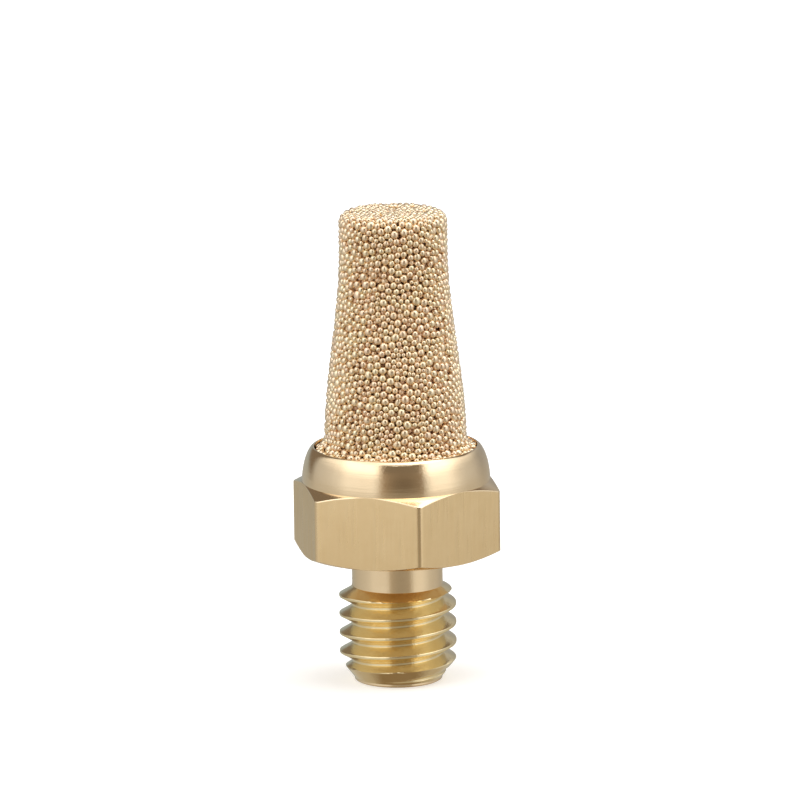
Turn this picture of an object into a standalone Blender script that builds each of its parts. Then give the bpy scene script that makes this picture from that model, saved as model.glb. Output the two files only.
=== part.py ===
"""Pneumatic exhaust muffler: a turned brass body with an M5 thread and a sintered bronze element.

The origin is the centre of the thread's end face and +Z runs up the muffler's axis. Two of the
hexagon's flats face +Y and -Y. Every outline is a list of (radius, height) points in metres.
"""

import math

import bmesh
import bpy

MM = 0.001

# How finely the round shapes are stepped
TURN_STEPS = 48
THREAD_STEPS = 40
ARC_STEPS = 5
DOME_STEPS = 9
TAPER_STEPS = 9
MERGE_DISTANCE = 0.0005 * MM

# How far stock and cutters run past the faces they meet
CLEARANCE = 1.0 * MM

# Thread, M5 x 0.8, right hand
THREAD_PITCH = 0.8 * MM
THREAD_CREST_RADIUS = 2.46 * MM
THREAD_ROOT_RADIUS = 1.93 * MM
THREAD_CREST_WIDTH = 0.12 * MM
THREAD_FLANK_ANGLE = math.radians(30)
THREAD_FLANK_SUNK = 0.03 * MM
THREAD_EMBEDDED = 0.2 * MM
THREAD_BOTTOM = 0.03 * MM
THREAD_TOP = 4.08 * MM
THREAD_TURNS = 7
THREAD_START = -THREAD_PITCH

# Thread's end: a plain ring and a lead chamfer. Its top: a cone where it runs out into the neck
END_FACE_RADIUS = 1.78 * MM
END_RING_RADIUS = 1.85 * MM
END_RING_EDGE = 0.06 * MM
END_RING_HEIGHT = 0.14 * MM
LEAD_STEP = 0.015 * MM
LEAD_CHAMFER_ANGLE = math.radians(38)
RUN_OUT_ANGLE = math.radians(27)

# Neck between the thread and the hexagon
NECK_RADIUS = 1.905 * MM
NECK_STEP_DROP = 0.05 * MM

# Hexagon, with a shallow relief round the neck so that its underside seats square
ACROSS_FLATS = 7.9 * MM
HEX_BOTTOM = 5.49 * MM
HEX_TOP = 8.57 * MM
HEX_FACE_RADIUS = 3.945 * MM
HEX_CHAMFER_ANGLE = math.radians(27)
HEX_FOOT_ANGLE = math.radians(23)
SEAT_RELIEF_RADIUS = 2.65 * MM
SEAT_RELIEF_DEPTH = 0.08 * MM

# Collar, domed and rolled in over the element's foot
COLLAR_BASE_RADIUS = HEX_FACE_RADIUS
COLLAR_TOP = 10.02 * MM
COLLAR_FULLNESS = 1.8
COLLAR_ROUNDING = 0.6
LIP_TIP_RADIUS = 3.46 * MM
LIP_RADIUS = 3.42 * MM
LIP_DEPTH = 0.12 * MM
LIP_CONE_HEIGHT = 0.28 * MM

# Inside of the body: an air bore up to the socket that holds the element's foot
BORE_RADIUS = 1.15 * MM
BORE_COUNTERSINK = 0.10 * MM
SOCKET_RADIUS = 3.55 * MM
SOCKET_FLOOR = 8.35 * MM

# Sintered element: a foot held in the socket, a flare, a taper and a straight, blunt tip
FIT_GAP = 0.05 * MM
FOOT_CONE_DROP = 0.03 * MM
FLARE_BOTTOM = 9.98 * MM
FLARE_HEIGHT = 0.45 * MM
ELEMENT_ROOT_RADIUS = 3.0 * MM
ELEMENT_TIP_RADIUS = 2.285 * MM
TAPER_BOTTOM = 10.2 * MM
TAPER_TOP = 18.4 * MM
ELEMENT_TOP = 20.0 * MM
TOP_EDGE_RADIUS = 0.5 * MM

# Blind cavity inside the element
ELEMENT_WALL = 0.95 * MM
CAVITY_EDGE_RADIUS = 0.4 * MM

SMOOTH_ANGLE = math.radians(35)
BRASS_COLOUR = (0.72, 0.56, 0.32, 1.0)
BRASS_ROUGHNESS = 0.25
BRONZE_COLOUR = (0.68, 0.50, 0.33, 1.0)
BRONZE_ROUGHNESS = 0.35


def clear_scene():
    for item in list(bpy.data.objects):
        bpy.data.objects.remove(item, do_unlink=True)


def new_collection(name):
    collection = bpy.data.collections.new(name)
    bpy.context.scene.collection.children.link(collection)
    return collection


def metal(name, colour, roughness):
    material = bpy.data.materials.new(name)
    material.use_nodes = True
    shader = material.node_tree.nodes["Principled BSDF"]
    shader.inputs["Base Color"].default_value = colour
    shader.inputs["Metallic"].default_value = 1.0
    shader.inputs["Roughness"].default_value = roughness
    return material


def arc(centre, radii, start, end):
    """Points along part of an ellipse, with both angles measured from the radius towards +Z."""
    points = []
    for step in range(ARC_STEPS + 1):
        angle = start + (end - start) * step / ARC_STEPS
        radius = centre[0] + radii[0] * math.cos(angle)
        height = centre[1] + radii[1] * math.sin(angle)
        points.append((radius, height))
    return points


def outline_object(name, outline, collection, closed):
    """A wire outline in the XZ plane, ready to be turned."""
    points = [(radius, 0.0, height) for radius, height in outline]
    edges = [(index, index + 1) for index in range(len(points) - 1)]
    if closed:
        edges.append((len(points) - 1, 0))
    mesh = bpy.data.meshes.new(name)
    mesh.from_pydata(points, edges, [])
    piece = bpy.data.objects.new(name, mesh)
    collection.objects.link(piece)
    return piece


def add_screw(piece, steps):
    screw = piece.modifiers.new("Turn", "SCREW")
    screw.axis = "Z"
    screw.steps = steps
    screw.render_steps = steps
    screw.merge_threshold = MERGE_DISTANCE
    return screw


def turned(name, outline, collection):
    """A solid of revolution. Its outline starts and ends on the axis and runs down its outside."""
    piece = outline_object(name, outline, collection, closed=False)
    screw = add_screw(piece, TURN_STEPS)
    screw.use_merge_vertices = True
    return piece


def combine(piece, other, operation):
    """Adds a Boolean that joins the other object to the piece, trims it to it or cuts it away."""
    boolean = piece.modifiers.new(other.name, "BOOLEAN")
    boolean.operation = operation
    boolean.solver = "EXACT"
    boolean.object = other
    other.hide_render = True
    other.display_type = "WIRE"


def evaluated_mesh(piece):
    """The piece's mesh with its modifiers and its placement applied."""
    bpy.context.view_layer.update()
    evaluated = piece.evaluated_get(bpy.context.evaluated_depsgraph_get())
    mesh = bpy.data.meshes.new_from_object(evaluated)
    mesh.transform(piece.matrix_world)
    return mesh


def finished(source, name, material, collection):
    """The evaluated source as a named piece, shaded smooth between its sharp edges."""
    mesh = evaluated_mesh(source)
    mesh.name = name
    mesh.shade_smooth()
    mesh.set_sharp_from_angle(angle=SMOOTH_ANGLE)
    mesh.materials.clear()
    mesh.materials.append(material)
    source.hide_render = True
    source.display_type = "WIRE"
    piece = bpy.data.objects.new(name, mesh)
    collection.objects.link(piece)
    return piece


def hexagon_bar(collection):
    """The bar that the body is turned from, with two flats facing +Y and -Y."""
    length = COLLAR_TOP + 2 * CLEARANCE
    corner_radius = ACROSS_FLATS / 2 / math.cos(math.pi / 6)
    mesh = bpy.data.meshes.new("hexagon_bar")
    shape = bmesh.new()
    bmesh.ops.create_cone(
        shape,
        cap_ends=True,
        segments=6,
        radius1=corner_radius,
        radius2=corner_radius,
        depth=length,
    )
    shape.to_mesh(mesh)
    shape.free()
    bar = bpy.data.objects.new("hexagon_bar", mesh)
    bar.location.z = length / 2 - CLEARANCE
    bar.rotation_euler.z = math.pi / 6
    collection.objects.link(bar)
    return bar


def thread_tooth():
    """One tooth's section: a crest flat and two flanks, with its foot sunk into the core."""
    flank_foot = THREAD_ROOT_RADIUS - THREAD_FLANK_SUNK
    sunk_radius = THREAD_ROOT_RADIUS - THREAD_EMBEDDED
    half_crest = THREAD_CREST_WIDTH / 2
    half_foot = half_crest + (THREAD_CREST_RADIUS - flank_foot) * math.tan(THREAD_FLANK_ANGLE)
    return [
        (sunk_radius, half_foot),
        (flank_foot, half_foot),
        (THREAD_CREST_RADIUS, half_crest),
        (THREAD_CREST_RADIUS, -half_crest),
        (flank_foot, -half_foot),
        (sunk_radius, -half_foot),
    ]


def thread_envelope(collection):
    """What the helical ridge is trimmed to: a lead chamfer below and a run-out cone above."""
    outer = THREAD_CREST_RADIUS + CLEARANCE
    run_out_drop = (outer - NECK_RADIUS) * math.tan(RUN_OUT_ANGLE)
    cone_radius = END_RING_RADIUS - LEAD_STEP
    lead_slope = math.tan(LEAD_CHAMFER_ANGLE)
    lead_bottom_radius = cone_radius - (END_RING_HEIGHT - THREAD_BOTTOM) * lead_slope
    lead_height = END_RING_HEIGHT + (outer - cone_radius) / lead_slope
    outline = [
        (0.0, THREAD_TOP),
        (NECK_RADIUS, THREAD_TOP),
        (outer, THREAD_TOP - run_out_drop),
        (outer, lead_height),
        (lead_bottom_radius, THREAD_BOTTOM),
        (0.0, THREAD_BOTTOM),
    ]
    return turned("thread_envelope", outline, collection)


def thread_ridge(collection):
    """The tooth swept along a right-hand helix, closed at both ends and trimmed."""
    sweep = outline_object("thread_sweep", thread_tooth(), collection, closed=True)
    screw = add_screw(sweep, THREAD_STEPS)
    screw.use_merge_vertices = False
    screw.screw_offset = THREAD_PITCH
    screw.iterations = THREAD_TURNS
    sweep.location.z = THREAD_START
    mesh = evaluated_mesh(sweep)
    bpy.data.objects.remove(sweep, do_unlink=True)

    shape = bmesh.new()
    shape.from_mesh(mesh)
    end_edges = [edge for edge in shape.edges if edge.is_boundary]
    bmesh.ops.holes_fill(shape, edges=end_edges)
    bmesh.ops.recalc_face_normals(shape, faces=shape.faces)
    shape.to_mesh(mesh)
    shape.free()

    ridge = bpy.data.objects.new("thread_ridge", mesh)
    collection.objects.link(ridge)
    combine(ridge, thread_envelope(collection), "INTERSECT")
    return ridge


def collar_dome():
    """The collar's outside from the lip's tip down to the hexagon, as a full-shouldered curve."""
    points = []
    for step in range(DOME_STEPS + 1):
        rise = 1 - (step / DOME_STEPS) ** 2
        swell = (1 - rise**COLLAR_FULLNESS) ** COLLAR_ROUNDING
        radius = LIP_TIP_RADIUS + (COLLAR_BASE_RADIUS - LIP_TIP_RADIUS) * swell
        height = HEX_TOP + (COLLAR_TOP - HEX_TOP) * rise
        points.append((radius, height))
    return points


def turned_outside(collection):
    """What the lathe leaves of the bar: collar, hexagon with its chamfers, seat, neck and core."""
    chamfer_reach = ACROSS_FLATS / 4
    chamfer_radius = HEX_FACE_RADIUS + chamfer_reach
    chamfer_drop = chamfer_reach * math.tan(HEX_CHAMFER_ANGLE)
    foot_drop = chamfer_reach * math.tan(HEX_FOOT_ANGLE)
    core_reach = THREAD_ROOT_RADIUS - END_RING_RADIUS
    core_bottom = END_RING_HEIGHT + core_reach / math.tan(LEAD_CHAMFER_ANGLE)
    outline = [(0.0, COLLAR_TOP)]
    outline += collar_dome()
    outline += [
        (chamfer_radius, HEX_TOP - chamfer_drop),
        (chamfer_radius, HEX_BOTTOM + foot_drop),
        (HEX_FACE_RADIUS, HEX_BOTTOM),
        (SEAT_RELIEF_RADIUS, HEX_BOTTOM),
        (SEAT_RELIEF_RADIUS, HEX_BOTTOM + SEAT_RELIEF_DEPTH),
        (NECK_RADIUS, HEX_BOTTOM + SEAT_RELIEF_DEPTH),
        (NECK_RADIUS, THREAD_TOP),
        (THREAD_ROOT_RADIUS, THREAD_TOP - NECK_STEP_DROP),
        (THREAD_ROOT_RADIUS, core_bottom),
        (END_RING_RADIUS, END_RING_HEIGHT),
        (END_RING_RADIUS, END_RING_EDGE),
        (END_FACE_RADIUS, 0.0),
        (0.0, 0.0),
    ]
    return turned("turned_outside", outline, collection)


def body_bore(collection):
    """The inside of the body: lip, socket, air bore and its countersink."""
    mouth_radius = BORE_RADIUS + BORE_COUNTERSINK
    outline = [
        (0.0, COLLAR_TOP + CLEARANCE),
        (LIP_RADIUS, COLLAR_TOP + CLEARANCE),
        (LIP_RADIUS, COLLAR_TOP - LIP_DEPTH),
        (SOCKET_RADIUS, COLLAR_TOP - LIP_DEPTH - LIP_CONE_HEIGHT),
        (SOCKET_RADIUS, SOCKET_FLOOR),
        (BORE_RADIUS, SOCKET_FLOOR),
        (BORE_RADIUS, BORE_COUNTERSINK),
        (mouth_radius + CLEARANCE, -CLEARANCE),
        (0.0, -CLEARANCE),
    ]
    return turned("body_bore", outline, collection)


def threaded_body(parts, cutters):
    brass = metal("brass", BRASS_COLOUR, BRASS_ROUGHNESS)
    bar = hexagon_bar(cutters)
    outside = turned_outside(cutters)
    combine(outside, body_bore(cutters), "DIFFERENCE")
    combine(bar, outside, "INTERSECT")
    combine(bar, thread_ridge(cutters), "UNION")
    return finished(bar, "threaded_body", brass, parts)


def taper_radius(height):
    """The element's outside radius between its straight tip and its foot, eased at both ends."""
    share = (TAPER_TOP - height) / (TAPER_TOP - TAPER_BOTTOM)
    share = min(max(share, 0.0), 1.0)
    eased = share * share * (3 - 2 * share)
    return ELEMENT_TIP_RADIUS + (ELEMENT_ROOT_RADIUS - ELEMENT_TIP_RADIUS) * eased


def taper_heights(top, bottom):
    return [top + (bottom - top) * step / TAPER_STEPS for step in range(TAPER_STEPS + 1)]


def element_outside():
    """Blunt top, straight tip, taper, flare and foot, from the axis down to the foot's underside."""
    top_edge_centre = (ELEMENT_TIP_RADIUS - TOP_EDGE_RADIUS, ELEMENT_TOP - TOP_EDGE_RADIUS)
    top_edge = arc(top_edge_centre, (TOP_EDGE_RADIUS, TOP_EDGE_RADIUS), math.pi / 2, 0.0)
    flare_top = FLARE_BOTTOM + FLARE_HEIGHT
    taper = [(taper_radius(height), height) for height in taper_heights(TAPER_TOP, flare_top)]
    waist_radius = LIP_RADIUS - FIT_GAP
    flare_centre = (waist_radius, flare_top)
    flare_radii = (waist_radius - taper_radius(flare_top), FLARE_HEIGHT)
    flare = arc(flare_centre, flare_radii, math.pi, 1.5 * math.pi)
    foot_radius = SOCKET_RADIUS - FIT_GAP
    lip_bottom = COLLAR_TOP - LIP_DEPTH - FOOT_CONE_DROP
    foot = [
        (waist_radius, lip_bottom),
        (foot_radius, lip_bottom - LIP_CONE_HEIGHT),
        (foot_radius, SOCKET_FLOOR + FIT_GAP),
    ]
    return [(0.0, ELEMENT_TOP)] + top_edge + taper + flare[1:] + foot


def element_inside():
    """The blind cavity's wall, from its mouth in the foot up to the axis."""
    mouth = (ELEMENT_ROOT_RADIUS - ELEMENT_WALL, SOCKET_FLOOR + FIT_GAP)
    heights = taper_heights(TAPER_BOTTOM, TAPER_TOP)
    wall = [(taper_radius(height) - ELEMENT_WALL, height) for height in heights]
    cavity_top = ELEMENT_TOP - ELEMENT_WALL
    edge_centre = (
        ELEMENT_TIP_RADIUS - ELEMENT_WALL - CAVITY_EDGE_RADIUS,
        cavity_top - CAVITY_EDGE_RADIUS,
    )
    edge = arc(edge_centre, (CAVITY_EDGE_RADIUS, CAVITY_EDGE_RADIUS), 0.0, math.pi / 2)
    return [mouth] + wall + edge + [(0.0, cavity_top)]


def sintered_element(parts, cutters):
    bronze = metal("sintered_bronze", BRONZE_COLOUR, BRONZE_ROUGHNESS)
    cup = turned("element_cup", element_outside() + element_inside(), cutters)
    return finished(cup, "sintered_element", bronze, parts)


def main():
    clear_scene()
    parts = new_collection("pneumatic_muffler")
    cutters = new_collection("construction")
    threaded_body(parts, cutters)
    sintered_element(parts, cutters)


main()
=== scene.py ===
"""The look of a pneumatic exhaust muffler: a turned brass body with an M5 thread and a cone of
sintered bronze beads, standing on its thread's end face.

Lengths are in metres, the axis of the muffler is Z and its origin is the thread's end face.
"""

import math

import bmesh
import bpy
import numpy as np
from mathutils import Matrix, Vector


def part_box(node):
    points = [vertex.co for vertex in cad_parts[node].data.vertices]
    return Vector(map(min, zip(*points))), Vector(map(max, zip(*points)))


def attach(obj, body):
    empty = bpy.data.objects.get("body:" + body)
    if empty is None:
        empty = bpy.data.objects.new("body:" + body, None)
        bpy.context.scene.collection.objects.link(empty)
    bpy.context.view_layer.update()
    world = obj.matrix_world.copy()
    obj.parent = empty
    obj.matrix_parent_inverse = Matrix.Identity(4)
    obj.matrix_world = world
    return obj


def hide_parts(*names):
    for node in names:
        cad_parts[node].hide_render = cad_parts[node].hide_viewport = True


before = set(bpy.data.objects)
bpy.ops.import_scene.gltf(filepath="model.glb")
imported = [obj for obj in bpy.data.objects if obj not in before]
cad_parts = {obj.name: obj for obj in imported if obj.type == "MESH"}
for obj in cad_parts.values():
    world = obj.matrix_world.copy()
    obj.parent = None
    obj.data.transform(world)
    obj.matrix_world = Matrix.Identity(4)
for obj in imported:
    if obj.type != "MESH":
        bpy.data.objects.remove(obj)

MM = 0.001
TINY = 1e-9
SEED = 20

# ---- Camera
CAMERA_AZIMUTH = math.radians(17.67)
CAMERA_ELEVATION = math.radians(11.91)
CAMERA_ROLL = math.radians(0.73)
CAMERA_DISTANCE = 340.7 * MM
CAMERA_LENS = 366.6
CAMERA_SENSOR = 36.0
CAMERA_AIM_RIGHT = 0.205 * MM
CAMERA_AIM_UP = 1.892 * MM
CAMERA_CLIP_START = 5 * MM
CAMERA_CLIP_END = 20.0

# ---- Studio
FLOOR_SIZE = 12.0
FLOOR_COLOUR = (0.93, 0.93, 0.92)
FLOOR_GLOW = 0.35

# Light from round the object: degrees, brightness and tint. The degrees are twice the azimuth,
# from the camera's own, of the direction half-way between the light and the camera, so on an
# upright wall a panel's edges are upright too.
DARK_PANEL = (1.0, 0.80, 0.60)
WHITE_PANEL = (1.0, 1.0, 1.0)
COOL_PANEL = (0.84, 0.95, 0.98)
STUDIO_RING = (
    (-180, 0.42, COOL_PANEL),
    (-142, 0.45, COOL_PANEL),
    (-119, 0.56, WHITE_PANEL),
    (-102, 0.64, WHITE_PANEL),
    (-88, 0.71, WHITE_PANEL),
    (-76, 0.82, WHITE_PANEL),
    (-66, 1.03, WHITE_PANEL),
    (-28, 1.05, WHITE_PANEL),
    (-23, 0.92, WHITE_PANEL),
    (-19, 0.44, DARK_PANEL),
    (-11, 0.29, DARK_PANEL),
    (0, 0.20, DARK_PANEL),
    (12, 0.18, DARK_PANEL),
    (22, 0.22, DARK_PANEL),
    (35, 0.30, DARK_PANEL),
    (38, 0.80, WHITE_PANEL),
    (42, 1.05, WHITE_PANEL),
    (48, 1.18, WHITE_PANEL),
    (66, 1.18, WHITE_PANEL),
    (74, 1.05, WHITE_PANEL),
    (86, 0.78, WHITE_PANEL),
    (98, 0.64, WHITE_PANEL),
    (115, 0.58, WHITE_PANEL),
    (136, 0.38, WHITE_PANEL),
    (180, 0.36, WHITE_PANEL),
)
RING_SCALE = 2.0

# Below the horizon the ring fades into an even glow, then into light from the floor, and the
# floor right under the object is in its shade
GLOW_COLOUR = (0.50, 0.47, 0.40)
GLOW_SHARE = 0.55
GLOW_FROM = math.radians(2)
GLOW_TO = math.radians(-9)
FLOOR_LIGHT_COLOUR = (0.46, 0.40, 0.32)
FLOOR_LIGHT_FROM = math.radians(-27)
FLOOR_LIGHT_TO = math.radians(-45)
BELOW_COLOUR = (0.25, 0.18, 0.11)
BELOW_FROM = math.radians(-56)
BELOW_TO = math.radians(-70)
LOWER_LIGHTS = (
    (GLOW_FROM, GLOW_TO, GLOW_SHARE, GLOW_COLOUR),
    (FLOOR_LIGHT_FROM, FLOOR_LIGHT_TO, 1, FLOOR_LIGHT_COLOUR),
    (BELOW_FROM, BELOW_TO, 1, BELOW_COLOUR),
)

# The side panels are brighter further up
PANEL_TOP_GAIN = 0.65
PANEL_TOP_FROM = math.radians(14)
PANEL_TOP_TO = math.radians(34)

# A dim backdrop high behind the object, which leans so that it starts higher on the right
BACKDROP_COLOUR = (0.21, 0.17, 0.13)
BACKDROP_HALF_WIDTH = math.radians(60)
BACKDROP_EDGE = math.radians(12)
BACKDROP_LOW = math.radians(13)
BACKDROP_HIGH = math.radians(22)
BACKDROP_LEAN = 0.50

# A bright panel overhead, and the upper part of the dark panel on the camera's side
OVERHEAD_LEFT = (1.35, 1.35, 1.35)
OVERHEAD_RIGHT = (2.7, 2.7, 2.7)
OVERHEAD_TURN = math.radians(25)
OVERHEAD_FROM = math.radians(56)
OVERHEAD_TO = math.radians(63)
HOOD_COLOUR = (0.22, 0.18, 0.14)
HOOD_MIDDLE = math.radians(7)
HOOD_HALF_WIDTH = math.radians(29)
HOOD_EDGE = math.radians(5)
HOOD_TOP = math.radians(64)
HOOD_TOP_EDGE = math.radians(4)

# ---- Body: shared sizes of the turned piece
HEX_BOTTOM = 5.49 * MM
HEX_TOP = 8.57 * MM
HEX_FACE_RADIUS = 3.945 * MM
HEX_CHAMFER_ANGLE = math.radians(27)
HEX_FOOT_ANGLE = math.radians(23)
HEX_CORNER_ROUNDING = 0.27 * MM
HEX_SIDES = 6
CORNER_WEAR = 0.25
CORNER_WEAR_ANGLE = math.radians(1.2)
NECK_SATIN = 0.35
CORNER_ZONE = math.radians(5)
CORNER_STEPS = 18
FLAT_STEPS = 20
SEAT_RELIEF_RADIUS = 2.65 * MM
SEAT_RELIEF_DEPTH = 0.08 * MM
NECK_RADIUS = 1.905 * MM
COLLAR_TOP = 10.02 * MM
COLLAR_FULLNESS = 1.8
COLLAR_ROUNDING = 0.6
COLLAR_STEPS = 44
LIP_TIP_RADIUS = 3.46 * MM
LIP_RADIUS = 3.42 * MM
LIP_DEPTH = 0.12 * MM
LIP_CONE_HEIGHT = 0.28 * MM
BORE_RADIUS = 1.15 * MM
BORE_COUNTERSINK = 0.10 * MM
SOCKET_RADIUS = 3.55 * MM
SOCKET_FLOOR = 8.35 * MM
BODY_CREASE_ANGLE = math.radians(24)

# Rounding of the body's edges: how far each corner of the outline is cut back
NO_ROUNDING = 0.0
COUNTERSINK_ROUNDING = 0.01 * MM
END_FACE_ROUNDING = 0.03 * MM
END_RING_ROUNDING = 0.025 * MM
NECK_FILLET = 0.03 * MM
RELIEF_FILLET = 0.01 * MM
RELIEF_ROUNDING = 0.02 * MM
HEX_FOOT_ROUNDING = 0.035 * MM
HEX_CHAMFER_ROUNDING = 0.045 * MM
LIP_ROUNDING = 0.012 * MM
ROUNDING_STEPS = 6
LONGEST_CUT_SHARE = 0.49

# ---- Thread, M5 x 0.8, right hand
THREAD_PITCH = 0.8 * MM
THREAD_CREST_RADIUS = 2.46 * MM
THREAD_ROOT_RADIUS = 1.93 * MM
THREAD_CREST_WIDTH = 0.10 * MM
THREAD_FLANK_ANGLE = math.radians(30)
THREAD_CREST_FILLET = 0.05 * MM
THREAD_ROOT_FILLET = 0.012 * MM
THREAD_TOP = 4.08 * MM
THREAD_COLUMNS = 256
THREAD_TURNS = 8
THREAD_TURNS_BELOW = 2
THREAD_INSIDE_RADIUS = 1.6 * MM
THREAD_HIDDEN_RADIUS = THREAD_INSIDE_RADIUS * 0.9
THREAD_CREASE_ANGLE = math.radians(30)
TOOTH_ROUNDING_STEPS = 5
TOOTH_FLANK_STEPS = 7
THREAD_BLEND = 0.02 * MM
CORE_RADIUS = 1.80 * MM
CORE_BEND = 0.05 * MM
END_FACE_RADIUS = 1.78 * MM
END_RING_RADIUS = 1.85 * MM
END_RING_EDGE = 0.06 * MM
END_RING_HEIGHT = 0.14 * MM
THREAD_BOTTOM = END_RING_HEIGHT
LEAD_CHAMFER_ANGLE = math.radians(38)
RUN_OUT_ANGLE = math.radians(27)
NECK_STEP_DROP = 0.05 * MM

# ---- Sintered element: the mould that its beads fill
FLARE_BOTTOM = 10.02 * MM
FLARE_HEIGHT = 0.45 * MM
FLARE_RADIUS = 3.41 * MM
ELEMENT_ROOT_RADIUS = 3.0 * MM
ELEMENT_TIP_RADIUS = 2.285 * MM
TAPER_BOTTOM = 10.2 * MM
TAPER_TOP = 18.4 * MM
TOP_EDGE_RADIUS = 0.5 * MM
MOULD_EDGE_STEPS = 8
MOULD_TAPER_POINTS = 34
BEAD_FOOT = 9.55 * MM
MOULD_TAIL = 1.0 * MM
BEAD_SHELL = 0.80 * MM
SHELL_MARGIN = 0.02 * MM
CORE_DEPTH = 0.62 * MM
CORE_TAIL = 0.5 * MM
CORE_COLUMNS = 96
CORE_CREASE_ANGLE = math.radians(40)

BEAD_MEAN = 0.272 * MM
BEAD_SPREAD = 0.055 * MM
BEAD_SMALLEST = 0.17 * MM
BEAD_LARGEST = 0.42 * MM
BEAD_FILL = 0.66
BEAD_OVERLAP = 1.05
BEAD_VOLUME_GAIN = 1.07
BEAD_WOBBLE = 0.05
BEAD_FLATTEST = 0.86
BEAD_LONGEST = 1.10
LONG_BEAD_SHARE = 0.02
LONG_BEAD_STRETCH = (1.4, 0.9, 0.9)
OUTER_LAYER = 0.10 * MM
INNER_LAYER = CORE_DEPTH - 0.15 * MM
DARKEST_DEPTH = 0.5 * MM
BEAD_BANDS = 7
OUTER_BALL = 3
INNER_BALL = 2

# ---- Packing of the beads
PACK_TRIES = 200000
PACK_ROUNDS = 260
PACK_REFRESH = 6
PACK_REACH = 1.12
PUSH_SHARE = 0.42
LONGEST_STEP = 0.25
PULL_SHARE = 0.012

# ---- Materials. A pair holds the two ends that a noise pattern runs between.
TURNED_COLOURS = ((0.925, 0.735, 0.485), (0.905, 0.705, 0.455))
DRAWN_COLOURS = ((0.865, 0.655, 0.375), (0.820, 0.610, 0.335))
TURNED_ROUGHNESS = (0.09, 0.17)
DRAWN_ROUGHNESS = (0.25, 0.38)
FINE_LINE_DEPTH = 0.0026 * MM
BROAD_LINE_DEPTH = 0.0050 * MM
DRAWING_DEPTH = 0.008 * MM
MOTTLE_DEPTH = 0.0016 * MM
THREAD_COLOURS = ((0.950, 0.805, 0.505), (0.925, 0.755, 0.440))
THREAD_ROUGHNESS = (0.06, 0.15)
THREAD_LINE_DEPTH = 0.0012 * MM
THREAD_DENT_DEPTH = 0.012 * MM
THREAD_SPECK_DEPTH = 0.0035 * MM
BEAD_COLOURS = ((0.95, 0.84, 0.60), (0.93, 0.73, 0.55))
BLOTCH_COLOUR = (0.92, 0.68, 0.42)
# Painted shade: beads further in are mixed towards this dark red-brown, fully at DARKEST_DEPTH
BURIED_SHADE_COLOUR = (0.66, 0.30, 0.14)
BEAD_ROUGHNESS = (0.20, 0.36)
BEAD_METALLIC = (1.0, 0.35)
BEAD_GRAIN_DEPTH = 0.010 * MM
# The cup behind the beads is painted dark red-brown: painted shade for the deeper beads
CORE_SHADE_COLOURS = ((0.40, 0.16, 0.07), (0.55, 0.25, 0.12))
CORE_ROUGHNESS = 0.6
CORE_SPECK_DEPTH = 0.03 * MM
FLOOR_ROUGHNESS = 0.9
FLOOR_GLOW_COLOUR = (1.0, 1.0, 1.0)

# Noise patterns: cells to the millimetre, octaves, strength of each next octave, and how much
# each axis is shrunk, which draws the pattern out along it
EVEN = (1, 1, 1)
BODY_PATCHES = (0.9, 3.0, 0.6, EVEN)
FINE_LINES = (36.0, 3.0, 0.7, (0.02, 0.02, 1.0))
BROAD_LINES = (7.0, 2.0, 0.5, (0.05, 0.05, 1.0))
DRAWING = (6.0, 3.0, 0.6, (1.0, 1.0, 0.07))
MOTTLE = (7.0, 3.0, 0.6, EVEN)
THREAD_PATCHES = (1.6, 3.0, 0.6, EVEN)
THREAD_LINES = (24.0, 3.0, 0.7, (0.12, 0.12, 1.0))
THREAD_DENTS = (6.5, 3.0, 0.6, (0.6, 0.6, 1.0))
THREAD_SPECKS = (15.0, 2.0, 0.6, EVEN)
BEAD_BLOTCHES = (6.0, 3.0, 0.6, EVEN)
BEAD_GRAIN = (18.0, 2.0, 0.5, EVEN)
CORE_SPECKS = (5.0, 3.0, 0.6, EVEN)

# The stretches of a noise's value, or of a bead's depth, that a change is spread over
NARROW = (0.3, 0.7)
WIDE = (0.25, 0.75)
BLOTCH_RANGE = (0.40, 0.80)
METALLIC_RANGE = (0.05, 0.6)

# Places of the Mix node's colour sockets, whose names it uses more than once
MIX_FIRST_COLOUR = 6
MIX_SECOND_COLOUR = 7
MIX_COLOUR_RESULT = 2


# ---------------------------------------------------------------- outlines

def rounded(points, cuts, steps=ROUNDING_STEPS):
    """The outline with each inner corner cut back by its distance and bridged by a smooth curve."""
    line = [np.array(points[0], float)]
    for before, corner, after, cut in zip(points, points[1:], points[2:], cuts):
        before, corner, after = (np.array(p, float) for p in (before, corner, after))
        to_before = before - corner
        to_after = after - corner
        room = min(np.linalg.norm(to_before), np.linalg.norm(to_after)) * LONGEST_CUT_SHARE
        reach = min(cut, room)
        if reach <= 0:
            line.append(corner)
            continue
        start = corner + to_before / np.linalg.norm(to_before) * reach
        end = corner + to_after / np.linalg.norm(to_after) * reach
        for step in range(steps + 1):
            t = step / steps
            line.append((1 - t) ** 2 * start + 2 * t * (1 - t) * corner + t**2 * end)
    line.append(np.array(points[-1], float))
    return line


def rounded_corners(corners):
    """The outline of (radius, height, cut) corners, each cut back and rounded."""
    points = [corner[:2] for corner in corners]
    cuts = [corner[2] for corner in corners[1:-1]]
    return rounded(points, cuts)


def divided(start, end, steps):
    """Points that split a straight run evenly, without its two ends."""
    run = np.array(end) - np.array(start)
    return [np.array(start) + run * k / steps for k in range(1, steps)]


# ---------------------------------------------------------------- meshes

def mesh_object(name, points, faces, crease_angle=None):
    """A smooth-shaded mesh in the scene, with sharp edges where it bends more than the angle."""
    mesh = bpy.data.meshes.new(name)
    mesh.from_pydata(points, [], faces)
    mesh.update()
    mesh.shade_smooth()
    if crease_angle is not None:
        mesh.set_sharp_from_angle(angle=crease_angle)
    piece = bpy.data.objects.new(name, mesh)
    bpy.context.scene.collection.objects.link(piece)
    return piece


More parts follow.
